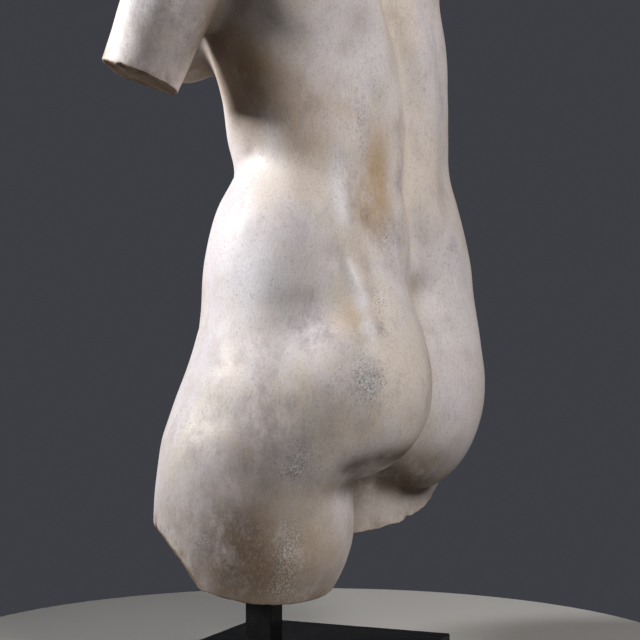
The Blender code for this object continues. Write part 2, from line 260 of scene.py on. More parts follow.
def pelvis(p, q):
    d = loft(q, TRUNK, 2.15, 2.4)
    thighs = blend_min(loft(p, LEFT_THIGH, 2.1, 2.1), loft(p, RIGHT_THIGH, 2.1, 2.1), 10.0)
    d = blend_min(d, thighs, 30.0)
    hip = ellipsoid(p, (83, -10, 306), (48, 57, 72))
    d = blend_min(d, hip, 34.0)
    left_low = ellipsoid(p, (66, 46, 186), (80, 81, 80))
    left_high = ellipsoid(p, (50, 46, 240), (58, 56, 74))
    left = blend_min(left_low, left_high, 34.0)
    right_low = ellipsoid(p, (-70, 33, 180), (78, 79, 103))
    right_high = ellipsoid(p, (-79, 33, 262), (67, 62, 108))
    right = blend_min(right_low, right_high, 26.0)
    seat = blend_min(left, right, 7.0)
    upper = smooth_step(180.0, 250.0, p[:, 2])
    outer = np.maximum(smooth_step(75.0, 135.0, p[:, 0]), smooth_step(100.0, 140.0, -p[:, 0]))
    return blend_min(d, seat, 9.0 + 19.0 * upper + 49.0 * outer * (1.0 - upper))


def shoulders(p, d):
    for side, z, b in ((LEFT, 614, -6), (RIGHT, 662, -24)):
        joint = (9 + side * 156, b, z)
        d = blend_min(d, ellipsoid(p, joint, (44, 44, 48)), 48.0)
        d = blend_min(d, limb(p, (9 + side * 60, 6, 672), (9 + side * 138, b + 16, z + 14), 32, 26), 38.0)
        d = blend_min(d, ellipsoid(p, (9 + side * 78, 46, z - 40), (56, 32, 72), side * 10.0), 30.0)
        d = blend_min(d, ellipsoid(p, (9 + side * 80, -62, z - 52), (58, 34, 46)), 30.0)
    neck = limb(p, (7, 4, 666), (3, -12, 745), 56, 50)
    return blend_min(d, neck, 30.0)


def arms(p, d):
    d = blend_min(d, limb(p, (151, -37, 608), (163, -109, 436), 45, 34), 22.0)
    return blend_min(d, limb(p, (-146, -6, 655), (-176, -14, 570), 44, 38), 16.0)


def breasts(p, d):
    for side, z in ((LEFT, 504), (RIGHT, 520)):
        l = 8 + side * 72
        full = ellipsoid(p, (l, -104, z), (50, 46, 48))
        slope = ellipsoid(p, (l - side * 4, -82, z + 36), (50, 36, 56))
        d = blend_min(d, blend_min(full, slope, 26.0), 20.0)
    return d


# Soft mounds and hollows: centre, radii, height
HIP_FORMS = (
    ((130, 46, 256), (30, 30, 24), -4.0),
    ((82, 46, 380), (56, 50, 84), 9.0),
    ((-26, 78, 272), (16, 18, 16), -6.0),
    ((150, -20, 118), (40, 60, 50), 3.0),
    ((-8, -80, 262), (60, 40, 46), 8.0),
    ((-9, -88, 311), (8, 14, 9), -9.0),
    ((0, -62, 146), (30, 26, 30), 8.0),
)
CHEST_FORMS = (
    ((80, -151, 508), (7, 8, 7), 5.0),
    ((-64, -151, 524), (7, 8, 7), 5.0),
    ((9, -60, 690), (12, 20, 14), -5.0),
)
# Furrows and ridges: depth, width, and the line each follows
HIP_LINES = (
    (-8.5, 14.0, ((60, 55, 428), (67, 53, 388), (76, 52, 350), (84, 57, 322), (88, 65, 300))),
    (-3.0, 7.0, ((86, 58, 318), (89, 66, 304), (93, 80, 278), (101, 96, 248), (106, 104, 222))),
    (2.5, 8.0, ((70, 72, 330), (75, 82, 296), (81, 92, 270), (90, 108, 236))),
    (2.0, 7.0, ((62, -68, 366), (80, -50, 378), (96, -32, 390), (106, -14, 402))),
    (3.0, 7.0, ((50, 84, 115), (84, 82, 117), (120, 68, 121))),
    (7.0, 5.0, ((12, 26, 106), (-8, 42, 91), (-41, 54, 84), (-92, 59, 84), (-116, 48, 88))),
    (5.0, 11.0, ((112, -50, 262), (70, -88, 206), (16, -82, 140))),
    (5.0, 11.0, ((-116, -46, 244), (-72, -84, 192), (-10, -82, 136))),
)
CHEST_LINES = (
    (5.0, 7.0, ((44, 70, 400), (50, 66, 366), (49, 70, 344), (52, 78, 316))),
    (-4.5, 8.0, ((54, 66, 412), (58, 65, 386), (65, 63, 362), (72, 61, 338))),
    (3.0, 10.0, ((-14, -80, 330), (-14, -80, 400), (-6, -88, 470))),
    (-2.5, 9.0, ((-8, -84, 462), (-56, -76, 424), (-92, -48, 392))),
    (-2.5, 9.0, ((-8, -84, 462), (36, -76, 420), (70, -50, 392))),
    (3.0, 10.0, ((9, -86, 500), (9, -90, 600), (9, -64, 680))),
    (-4.0, 7.0, ((22, -66, 672), (80, -58, 664), (140, -20, 640))),
    (-4.0, 7.0, ((-4, -66, 676), (-62, -58, 680), (-122, -26, 680))),
)


def modelling(p, q, d):
    """The muscles, folds and hollows that show from a step away."""
    at_back = smooth_step(0.0, 25.0, q[:, 1])
    off_spine = q[:, 0] - spine_at(q[:, 2])
    column = smooth_step(262.0, 322.0, q[:, 2]) * (1.0 - smooth_step(626.0, 686.0, q[:, 2])) * at_back
    d = d + 8.0 * column * np.exp(-((off_spine / 13.0) ** 2))
    for side in (LEFT, RIGHT):
        d = d - 5.0 * column * np.exp(-(((off_spine - side * 30.0) / 18.0) ** 2))
    for place, forms, lines in ((p, HIP_FORMS, HIP_LINES), (q, CHEST_FORMS, CHEST_LINES)):
        for centre, radii, height in forms:
            d = d + swelling(place, centre, radii, height)
        for depth, width, line in lines:
            d = d + furrow(place, line, depth, width)
    return d


# Broken ends: a point on the break, the way out of the stone, and how far the break reaches
BREAKS = {
    "left_thigh": ((84.0, -31.0, 19.0), (-0.058, -0.21, -1.0), (-110.0, 140.0), 170.0, 140.0),
    "left_thigh_chip": ((110.0, -86.0, 27.0), (0.75, -1.008, -1.0), (-140.0, 140.0), 170.0, 140.0),
    "right_thigh": ((-80.0, -35.0, 62.0), (-0.236, -0.009, -0.971), (-140.0, 89.0), 150.0, 160.0),
    "left_arm": ((165.0, -97.0, 459.5), (0.33, -0.27, -0.90), (-60.0, 60.0), 60.0, 90.0),
    "right_arm": ((-171.0, -13.0, 584.0), (-0.33, -0.09, -0.94), (-60.0, 41.0), 60.0, 90.0),
    "neck": ((3.0, -12.0, 744.0), (0.05, 0.10, 0.99), (-90.0, 90.0), 90.0, 90.0),
}


def figure(p):
    """Distance from points p to the unbroken torso's surface, in parts: negative inside."""
    q = turned_chest(p)
    d = pelvis(p, q)
    d = breasts(q, d)
    d = shoulders(q, d)
    d = arms(p, d)
    return modelling(p, q, d)


def break_frame(name):
    """The directions of a break: along l in its face, along b in its face, and out."""
    out = np.asarray(BREAKS[name][1], float)
    out /= np.linalg.norm(out)
    across = np.array((1.0, 0.0, 0.0)) - out[0] * out
    across /= np.linalg.norm(across)
    return across, np.cross(out, across), out


def surface_net(value, low, step):
    """A closed mesh of four-sided faces on the zero level of a grid of distances."""
    counts = value.shape
    least = 0.15 * step
    value = np.where(np.abs(value) < least, np.where(value < 0, -least, least), value)
    corner = np.array([(i, j, k) for i in (0, 1) for j in (0, 1) for k in (0, 1)])
    total = np.zeros([c - 1 for c in counts] + [3])
    hits = np.zeros([c - 1 for c in counts])
    window = [slice(0, c - 1) for c in counts]
    for a in range(8):
        for c in range(a + 1, 8):
            if np.abs(corner[a] - corner[c]).sum() != 1:
                continue
            va = value[tuple(slice(s.start + o, s.stop + o) for s, o in zip(window, corner[a]))]
            vc = value[tuple(slice(s.start + o, s.stop + o) for s, o in zip(window, corner[c]))]
            crossed = (va < 0) != (vc < 0)
            t = np.where(crossed, va / np.where(crossed, va - vc, 1.0), 0.0)
            total += crossed[..., None] * (corner[a] + t[..., None] * (corner[c] - corner[a]))
            hits += crossed
    used = hits > 0
    index = np.full(used.shape, -1)
    index[used] = np.arange(used.sum())
    points = np.argwhere(used) + total[used] / hits[used][:, None]
    points = np.asarray(low, float) + step * points
    faces = []
    for axis in range(3):
        u, v = (axis + 1) % 3, (axis + 2) % 3
        low_end = [slice(None)] * 3
        high_end = [slice(None)] * 3
        low_end[axis], high_end[axis] = slice(0, -1), slice(1, None)
        a, c = value[tuple(low_end)] < 0, value[tuple(high_end)] < 0
        edges = np.argwhere(a != c)
        inner = np.all((edges > 0)[:, [u, v]], axis=1) & np.all(
            edges[:, [u, v]] < np.array(counts)[[u, v]] - 1, axis=1)
        edges = edges[inner]
        facing = a[tuple(edges.T)]
        ring = []
        for du, dv in ((0, 0), (1, 0), (1, 1), (0, 1)):
            cell = edges.copy()
            cell[:, u] -= du
            cell[:, v] -= dv
            ring.append(index[tuple(cell.T)])
        ring = np.stack(ring, 1)
        faces.append(np.where(facing[:, None], ring, ring[:, ::-1]))
    return points, np.concatenate(faces)


def settle(field, points, rounds=3, probe=0.5):
    """Moves points onto the zero level along the field's slope."""
    for _ in range(rounds):
        d = field(points)
        slope = np.stack([field(points + probe * step) - field(points - probe * step)
                          for step in np.eye(3)], 1) / (2 * probe)
        size = np.maximum((slope * slope).sum(1), 0.25)
        points = points - np.clip(d / size, -4, 4)[:, None] * slope
    return points


def placed(points):
    """Points of the figure's own frame, in parts, at their place in the finished object."""
    points = np.asarray(points, float) * SCALE
    turn = math.radians(FIGURE_TURN_DEG)
    c, s = math.cos(turn), math.sin(turn)
    x = c * points[:, 0] - s * points[:, 1] + FIGURE_SHIFT[0]
    y = s * points[:, 0] + c * points[:, 1] + FIGURE_SHIFT[1]
    return np.stack([x, y, points[:, 2] + PLATE_THICKNESS + TORSO_CLEARANCE], 1)


def turned_back(v):
    """Directions in the finished object, as they lie in the figure's own frame."""
    turn = math.radians(FIGURE_TURN_DEG)
    c, s = math.cos(turn), math.sin(turn)
    return np.stack([c * v[:, 0] + s * v[:, 1], c * v[:, 1] - s * v[:, 0], v[:, 2]], 1)


def from_world(points):
    """Points of the finished object, in the figure's own frame and in parts."""
    foot = np.array((*FIGURE_SHIFT, PLATE_THICKNESS + TORSO_CLEARANCE))
    return turned_back(np.asarray(points, float) - foot) / SCALE


def value_noise(p, size, seed):
    """Smooth noise from -1 to 1 that changes over about size."""
    q = p / size + 17.3 * seed
    cell = np.floor(q).astype(np.int64)
    t = q - cell
    t = t * t * (3.0 - 2.0 * t)
    total = np.zeros(len(p))
    for corner in np.ndindex(2, 2, 2):
        at = (cell + corner) * (73856093, 19349663, 83492791)
        mixed = at[:, 0] ^ at[:, 1] ^ at[:, 2]
        mixed = (mixed ^ (mixed >> 13)) * 1274126177
        mixed = (mixed ^ (mixed >> 16)) & 0xFFFF
        total += np.prod(np.where(corner, t, 1.0 - t), axis=1) * (mixed / 32767.5 - 1.0)
    return total


def layered_noise(p, layers, seed):
    """The sum of noises, each given as its size and its height."""
    return sum(height * value_noise(p, size, seed + i) for i, (size, height) in enumerate(layers))


# Uneven faces of the breaks, and the slow unevenness of the carving: size, height
BREAK_LAYERS = ((30.0, 2.0), (12.0, 0.9), (5.0, 0.45), (2.4, 0.3))
CARVING_LAYERS = ((46.0, 0.7), (17.0, 0.35))
CRUST_LAYERS = ((6.0, 0.5), (2.6, 0.45))
WORN_RIM = 2.6               # how widely the rims of the breaks are rounded
ROUGH_DEPTH = 9.0            # how far from a break's plane its face can be uneven
SKIN_DEPTH = 6.0             # how far from the surface its unevenness is worked out
CRUST_HEIGHT = 0.5           # how far the crust stands up, before its own unevenness
CHIP_ROUGHNESS = 0.35        # how uneven a chip is, as a share of its radius
SPLIT_ROUNDS = ((11.0, 0.25), (4.5, 0.5))    # how near a rim, and on how much crust, faces are split
NEAR_PROBE, FAR_PROBE = 2.0, 9.0             # how far out the open air over the surface is looked at

# Chips broken out of the rims and dents in the skin: centre, radius
CHIPS = (
    ((192, -97, 470), 3.2),
    ((160, -49, 452), 3.0),
    ((120, -112, 55), 6.0),
    ((150, -92, 64), 4.2),
    ((161, -76, 53), 3.0),
    ((168, -58, 39), 3.6),
    ((170, -46, 27), 2.6),
    ((167, -28, 13), 3.4),
    ((162, -6, 8), 2.6),
    ((96, 56, -2), 4.0),
    ((-60, 46, 54), 4.5),
    ((-8, 12, 72), 4.0),
    ((40, 20, 742), 5.0),
    ((-44, -30, 738), 6.0),
    ((-196, -30, 586), 3.6),
)

# Weathering, painted shade and painted light by place, for each kind: centre, reach, and how strong it is
PATCHES = {
    "crust": (
        ((120, 103, 201), (15, 15, 17), 1.0),
        ((150, 50, 131), (9, 9, 12), 0.6),
        ((150, 45, 120), (10, 10, 10), 0.5),
        ((141, 39, 54), (14, 14, 26), 0.5),
        ((142, 35, 14), (14, 14, 14), 0.4),
        ((139, 77, 197), (3, 3, 3), 0.9),
        ((172, -32, 61), (12, 12, 10), 0.35),
        ((112, 96, 272), (6, 8, 12), 0.3),
        ((116, 98, 244), (6, 8, 16), 0.35),
    ),
    "speckle": (
        ((60, 58, 422), (9, 14, 24), 0.9),
        ((61, 56, 396), (8, 14, 18), 0.7),
        ((45, 66, 448), (14, 14, 26), 0.45),
        ((36, 74, 322), (12, 12, 16), 0.8),
        ((80, 93, 266), (7, 9, 20), 1.0),
        ((91, 104, 242), (7, 9, 16), 0.9),
        ((58, 58, 346), (8, 10, 14), 0.8),
        ((-47, 87, 276), (14, 14, 12), 0.5),
        ((-60, 90, 305), (14, 14, 10), 0.6),
        ((-30, 73, 276), (10, 12, 12), 0.5),
        ((135, 0, 272), (24, 26, 26), 0.45),
        ((150, 55, 140), (30, 30, 34), 0.7),
        ((150, 10, 40), (40, 46, 44), 0.6),
        ((118, 100, 200), (26, 26, 26), 0.8),
        ((110, 0, 416), (40, 40, 9), 0.5),
        ((180, -60, 510), (30, 30, 44), 0.35),
    ),
    "ochre": (
        ((38, 68, 372), (11, 20, 50), 1.0),
        ((47, 65, 364), (10, 16, 42), 0.9),
        ((60, 66, 350), (16, 20, 26), 0.6),
        ((84, 40, 300), (26, 24, 26), 0.45),
        ((108, 82, 258), (14, 16, 22), 0.55),
        ((8, 86, 250), (18, 14, 22), 0.7),
        ((130, 10, 50), (60, 60, 44), 0.75),
        ((120, 10, 440), (40, 44, 34), 0.4),
        # browns and darkens the ribs under the left arm, where its shadow falls: partly stain, partly
        # painted shade
        ((114, -20, 458), (34, 40, 54), 1.0),
        ((96, 20, 392), (26, 26, 34), 0.55),
        ((76, 50, 430), (22, 20, 26), 0.5),
    ),
    "grey": (
        ((46, 72, 318), (22, 18, 26), 1.0),
        # painted shade in the hollow of the left hip
        ((122, 44, 250), (20, 20, 18), 0.7),
        ((40, 122, 178), (30, 24, 50), 0.3),
        ((150, 30, 150), (34, 34, 26), 0.7),
        ((160, -10, 76), (36, 40, 44), 0.8),
        ((62, 64, 420), (18, 20, 46), 0.5),
        ((104, 20, 424), (26, 24, 14), 0.6),
        ((-62, 72, 480), (30, 30, 130), 0.3),
        ((-50, 80, 330), (34, 24, 34), 0.25),
        # painted shade in the groove on the left of the back
        ((76, 63, 357), (7, 8, 26), 0.9),
        # painted shade on the shaded middle of the left arm
        ((180, -64, 520), (30, 30, 60), 0.9),
        ((10, -100, 250), (50, 40, 60), 0.4),
        ((-90, -70, 330), (50, 50, 60), 0.4),
        ((96, 24, 436), (20, 20, 7), 0.8),
        # painted shade on the bulge below the left hip's hollow
        ((123, 62, 238), (20, 20, 16), 0.8),
        # painted shade on the dark side of the ridge above the left buttock (this and the next)
        ((83, 88, 270), (6, 7, 26), 0.7),
        ((96, 101, 243), (6, 6, 14), 0.7),
        ((14, 78, 366), (7, 12, 60), 0.8),
        ((150, 20, 180), (40, 34, 50), 0.5),
        # greyer and rougher where the left thigh's gloss is brightest; the grey is painted shade over that
        # highlight
        ((164, -42, 152), (24, 26, 22), 0.6),
    ),
    # Darker, browner stone: darker towards the bottom of the thighs, and painted shade in the folds under
    # the buttocks, where the thighs meet, under the left breast, on the left arm and on the ribs under it
    "dirt_and_shade": (
        # darker and browner towards the bottom of the left thigh
        ((148, 14, 26), (54, 56, 50), 0.95),
        # painted shade under the left buttock's fold
        ((84, 66, 108), (60, 46, 12), 0.7),
        # painted shade on the ribs under the left arm, with some brown stain
        ((116, -16, 462), (24, 28, 46), 0.35),
        # painted shade under the left breast
        ((74, -98, 470), (44, 34, 32), 0.9),
        # painted shade on the left arm and under it (this and the next)
        ((182, -74, 500), (16, 16, 46), 0.75),
        ((150, -44, 500), (30, 30, 60), 0.7),
        # painted shade on the ribs under the left arm
        ((118, -40, 462), (16, 20, 60), 0.2),
        # darker and browner towards the bottom of the left thigh (this and the next)
        ((166, 0, 62), (34, 42, 42), 0.85),
        ((150, 50, 112), (40, 40, 60), 0.25),
        # painted shade along the fold under the right buttock (this and the next four)
        ((14, 28, 110), (26, 26, 16), 1.0),
        ((-8, 44, 98), (30, 26, 14), 1.0),
        ((-44, 60, 94), (34, 26, 14), 1.0),
        ((-92, 62, 94), (34, 26, 14), 0.9),
        ((-30, 84, 112), (50, 30, 18), 0.6),
        # painted shade along the crease under the left buttock (this and the next two)
        ((104, 85, 124), (16, 14, 10), 0.9),
        ((86, 102, 130), (18, 14, 12), 1.0),
        ((62, 106, 131), (22, 14, 10), 1.0),
        ((167, 15, 139), (30, 40, 24), 0.5),
        ((164, -64, 72), (30, 30, 34), 0.3),
        ((107, 29, 15), (34, 30, 26), 0.55),
        # painted shade where the thighs meet
        ((0, 0, 100), (34, 90, 44), 0.8),
        # painted shade on the left arm
        ((150, -20, 570), (24, 34, 60), 0.6),
        # darker and browner towards the bottom of the right thigh
        ((-90, -20, 60), (80, 90, 30), 0.6),
    ),
    # Lighter, cool white: painted highlights and painted light on lit places, and some whitened crust
    "pale": (
        # painted highlight on the glossy streak on the left of the back
        ((66, 50, 386), (9, 10, 34), 0.9),
        # painted highlight along the ridge above the left buttock (this and the next two)
        ((94, 76, 288), (6, 8, 18), 1.0),
        ((97, 86, 267), (6, 7, 16), 1.0),
        ((105, 96, 245), (6, 6, 16), 1.0),
        # whitened crust on the left buttock
        ((121, 102, 206), (10, 10, 14), 0.6),
        # painted light on the left hip
        ((140, 0, 290), (26, 34, 40), 0.8),
        # painted highlight on the glossy streak on the left of the back (this and the next)
        ((86, 54, 376), (8, 7, 22), 1.0),
        ((88, 60, 350), (6, 7, 18), 1.0),
        ((-75, 98, 262), (40, 30, 56), 0.7),
        ((50, 67, 474), (24, 20, 50), 0.5),
        # painted light on the left hip
        ((134, 18, 278), (18, 24, 18), 0.8),
        # painted light on the lit right thigh below its fold
        ((-20, 60, 66), (50, 40, 22), 0.6),
        ((118, 0, 394), (24, 26, 30), 0.5),
    ),
}


def patch_mask(kind, p):
    """How much of one kind of weathering lies at points p, from 0 to 1; some kinds also carry painted shade
    and painted light.
    """
    clear = np.ones(len(p))
    for centre, reach, strength in PATCHES[kind]:
        q = (p - np.asarray(centre, float)) / reach
        clear *= 1.0 - strength * np.exp(-np.minimum((q * q).sum(1), 40.0))
    return 1.0 - clear


def past_breaks(p):
    """Distance from points p to what has broken away, whose faces are rough."""
    nearest = np.full(len(p), 1e9)
    for seed, (name, (point, _, (low, high), half_depth, length)) in enumerate(BREAKS.items()):
        across, along, out = break_frame(name)
        q = p - point
        u, v, w = q @ across, q @ along, q @ out
        within = (u > low - ROUGH_DEPTH) & (u < high + ROUGH_DEPTH) & (np.abs(v) < half_depth + ROUGH_DEPTH)
        at_face = (np.abs(w) < ROUGH_DEPTH) & within
        w[at_face] += layered_noise(p[at_face], BREAK_LAYERS, 3 + 5 * seed)
        away = np.max([low - u, u - high, np.abs(v) - half_depth, -w, w - length], axis=0)
        nearest = np.minimum(nearest, away)
    return nearest


def chipped(p, d):
    for seed, (centre, radius) in enumerate(CHIPS):
        q = p - np.asarray(centre, float)
        reach = np.linalg.norm(q, axis=1)
        near = reach < 2.5 * radius
        uneven = CHIP_ROUGHNESS * radius * value_noise(p[near], 0.8 * radius, 60 + seed)
        d[near] = blend_max(d[near], radius + uneven - reach[near], 0.8)
    return d


def weathered(p):
    """Distance to the torso as it stands: broken, chipped, crusted and a little uneven."""
    d = figure(p)
    close = np.abs(d) < SKIN_DEPTH
    q = p[close]
    crust = patch_mask("crust", q)
    d[close] -= layered_noise(q, CARVING_LAYERS, 31)
    d[close] -= crust * (CRUST_HEIGHT + layered_noise(q, CRUST_LAYERS, 41))
    return chipped(p, blend_max(d, -past_breaks(p), WORN_RIM))


def near_surface(field, low, high, step):
    """The grid values of a field, worked out closely only where its surface runs."""
    counts = [BLOCK * int(math.ceil((high[i] - low[i]) / step / BLOCK)) for i in range(3)]
    blocks = [c // BLOCK for c in counts]
    middle = [low[i] + step * (BLOCK * np.arange(blocks[i]) + (BLOCK - 1) / 2) for i in range(3)]
    coarse = field(np.stack(np.meshgrid(*middle, indexing="ij"), -1).reshape(-1, 3)).reshape(blocks)
    value = coarse.repeat(BLOCK, 0).repeat(BLOCK, 1).repeat(BLOCK, 2)
    wanted = (np.abs(coarse) < 1.7 * BLOCK * step).repeat(BLOCK, 0).repeat(BLOCK, 1).repeat(BLOCK, 2)
    index = np.argwhere(wanted)
    value[wanted] = field(np.asarray(low, float) + step * index)
    return value


def refine(mesh, wanted):
    """Splits the faces whose corners are all wanted into four."""
    made = bmesh.new()
    made.from_mesh(mesh)
    edges = [e for e in made.edges if wanted[e.verts[0].index] and wanted[e.verts[1].index]]
    bmesh.ops.subdivide_edges(made, edges=edges, cuts=1, use_grid_fill=True)
    uneven = [f for f in made.faces if len(f.verts) > 4]
    bmesh.ops.triangulate(made, faces=uneven)
    made.to_mesh(mesh)
    made.free()


def mesh_points(mesh, what="co"):
    """The places of a mesh's points, or their normals."""
    values = np.empty(3 * len(mesh.vertices))
    mesh.vertices.foreach_get(what, values)
    return values.reshape(-1, 3)


def set_points(mesh, points):
    mesh.vertices.foreach_set("co", np.asarray(points, float).ravel())
    mesh.update()


def add_mesh(name, points, faces):
    mesh = bpy.data.meshes.new(name)
    mesh.from_pydata(points.tolist(), [], faces.tolist())
    made = bpy.data.objects.new(name, mesh)
    bpy.context.scene.collection.objects.link(made)
    return made


def rim_distance(p):
    """Distance to the nearest rim, where a break meets the carving."""
    return np.maximum(np.abs(past_breaks(p)), np.abs(figure(p)))


def carve():
    """The fine mesh of the torso, closest at the rims of its breaks and on its crust."""
    points, faces = surface_net(near_surface(weathered, LOW, HIGH, GRID_STEP), LOW, GRID_STEP)
    torso = add_mesh("torso_carved", settle(weathered, points, 2), faces)
    for reach, crust_from in SPLIT_ROUNDS:
        p = mesh_points(torso.data)
        wanted = (rim_distance(p) < reach) | (patch_mask("crust", p) > crust_from)
        refine(torso.data, wanted)
        p = mesh_points(torso.data)
        near = (rim_distance(p) < reach + GRID_STEP) | (patch_mask("crust", p) > 0.8 * crust_from)
        p[near] = settle(weathered, p[near], 2)
        set_points(torso.data, p)
    set_points(torso.data, placed(mesh_points(torso.data)))
    return torso


def cut_socket(torso):
    """Opens the square hole that the post goes up into."""
    low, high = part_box("post")
    room = Vector((SOCKET_ROOM, SOCKET_ROOM, SOCKET_ROOM))
    low, high = low - room, high + room
    corners = np.array([(x, y, z) for x in (low.x, high.x)
                        for y in (low.y, high.y) for z in (low.z, high.z)])
    sides = np.array([(0, 1, 3, 2), (4, 6, 7, 5), (0, 4, 5, 1),
                      (2, 3, 7, 6), (0, 2, 6, 4), (1, 5, 7, 3)])
    cutter = add_mesh("socket_cutter", corners, sides)
    cut = torso.modifiers.new("post socket", "BOOLEAN")
    cut.operation = "DIFFERENCE"
    cut.solver = "EXACT"
    cut.object = cutter
    view = bpy.context.evaluated_depsgraph_get()
    whole = bpy.data.meshes.new_from_object(torso.evaluated_get(view))
    torso.modifiers.clear()
    torso.data = whole
    bpy.data.objects.remove(cutter)


def mark_weathering(torso):
    """Stores at each point what the stone's finish depends on."""
    mesh = torso.data
    p = from_world(mesh_points(mesh))
    n = turned_back(mesh_points(mesh, "normal"))
    broken = past_breaks(p)
    near_air = np.maximum(FAR_PROBE / NEAR_PROBE * figure(p + NEAR_PROBE * n), 2.0)
    open_air = np.clip(figure(p + FAR_PROBE * n) / near_air, 0.0, 1.2)
    marks = {kind: patch_mask(kind, p) for kind in PATCHES}
    marks["fracture"] = 1.0 - smooth_step(0.4, 2.2, broken)
    marks["rim"] = 1.0 - smooth_step(1.0, 16.0, broken)
    # How closed in the surface is over each point, away from the breaks: it browns the hollows, partly as
    # dirt settled there, partly as painted shade
    marks["hollow"] = (1.0 - smooth_step(0.45, 1.0, open_air)) * smooth_step(1.0, 6.0, broken)
    for name, values in marks.items():
        stored = mesh.attributes.new(name, "FLOAT", "POINT")
        stored.data.foreach_set("value", values.astype(np.float32))


class Finish:
    """A node material that is built up in layers."""

    def __init__(self, name):
        self.material = bpy.data.materials.new(name)
        self.material.use_nodes = True
        self.tree = self.material.node_tree
        self.shader = self.tree.nodes["Principled BSDF"]
        self.place = self.add("ShaderNodeTexCoord").outputs["Object"]

    def add(self, kind, **settings):
        node = self.tree.nodes.new(kind)
        for name, value in settings.items():
            setattr(node, name, value)
        return node

    def feed(self, socket, value):
        """Links a socket to another node's output, or sets it to a plain value."""
        if isinstance(value, bpy.types.NodeSocket):
            self.tree.links.new(value, socket)
        elif isinstance(value, tuple) and len(value) == 3 and socket.type == "RGBA":
            socket.default_value = (*value, 1.0)
        else:
            socket.default_value = value

    def noise(self, size, detail=3.0, rough=0.55, stretch=(1.0, 1.0, 1.0), shift=0.0):
        """Noise from 0 to 1 whose patches are about size metres across."""
        moved = self.add("ShaderNodeMapping")
        self.feed(moved.inputs["Vector"], self.place)
        moved.inputs["Scale"].default_value = tuple(1.0 / (size * s) for s in stretch)
        moved.inputs["Location"].default_value = (shift, 0.7 * shift, 1.3 * shift)
        node = self.add("ShaderNodeTexNoise")
        self.feed(node.inputs["Vector"], moved.outputs["Vector"])
        node.inputs["Scale"].default_value = 1.0
        node.inputs["Detail"].default_value = detail
        node.inputs["Roughness"].default_value = rough
        return node.outputs["Fac"]

    def mark(self, name):
        return self.add("ShaderNodeAttribute", attribute_name=name).outputs["Fac"]

    def step(self, value, low, high, to=1.0):
        """A smooth rise from 0 to to, as value goes from low to high."""
        node = self.add("ShaderNodeMapRange", interpolation_type="SMOOTHSTEP")
        self.feed(node.inputs["Value"], value)
        node.inputs["From Min"].default_value = low
        node.inputs["From Max"].default_value = high
        node.inputs["To Max"].default_value = to
        return node.outputs["Result"]

    def math(self, operation, a, b, clamp):
        node = self.add("ShaderNodeMath", operation=operation, use_clamp=clamp)
        self.feed(node.inputs[0], a)
        self.feed(node.inputs[1], b)
        return node.outputs[0]

    def plus(self, a, b, clamp=False):
        return self.math("ADD", a, b, clamp)

    def times(self, a, b, clamp=False):
        return self.math("MULTIPLY", a, b, clamp)

    def mix(self, factor, a, b, blend="MIX"):
        """Colour a with colour b laid over it."""
        node = self.add("ShaderNodeMix", data_type="RGBA", blend_type=blend)
        self.feed(node.inputs["Factor"], factor)
        self.feed(node.inputs["A"], a)
        self.feed(node.inputs["B"], b)
        return node.outputs["Result"]

    def bump(self, height, distance, strength=1.0, normal=None):
        node = self.add("ShaderNodeBump")
        self.feed(node.inputs["Height"], height)
        node.inputs["Distance"].default_value = distance
        node.inputs["Strength"].default_value = strength
        if normal:
            self.feed(node.inputs["Normal"], normal)
        return node.outputs["Normal"]


# Colours of the stone and what lies on it
CREAM = (0.82, 0.73, 0.65)
CHALK = (0.83, 0.775, 0.785)
# A cool white for painted highlights and painted light, and for whitened crust
PAINTED_LIGHT_AND_CRUST_WHITE = (0.90, 0.875, 0.90)
TAN = (0.62, 0.50, 0.38)
OCHRE = (0.52, 0.34, 0.16)
# A cool grey: grey stains and flecks, and painted shade where some grey patches lie
SLATE = (0.40, 0.36, 0.385)
CRUST_GREY = (0.44, 0.44, 0.44)
CRUST_WHITE = (0.86, 0.86, 0.84)
SPECK = (0.07, 0.065, 0.06)
# Dark brown: for dirt, for the break faces, and for painted shade in folds and hollows
DARK_BROWN = (0.16, 0.10, 0.05)
BROKEN = (0.27, 0.19, 0.12)

# Colours of the steel and the floor
DARK_STEEL = (0.006, 0.006, 0.0065)
WORN_STEEL = (0.014, 0.0135, 0.0135)
STEEL_DUST = (0.08, 0.074, 0.068)
FLOOR_DARK = (0.40, 0.385, 0.36)
FLOOR_LIGHT = (0.44, 0.425, 0.40)


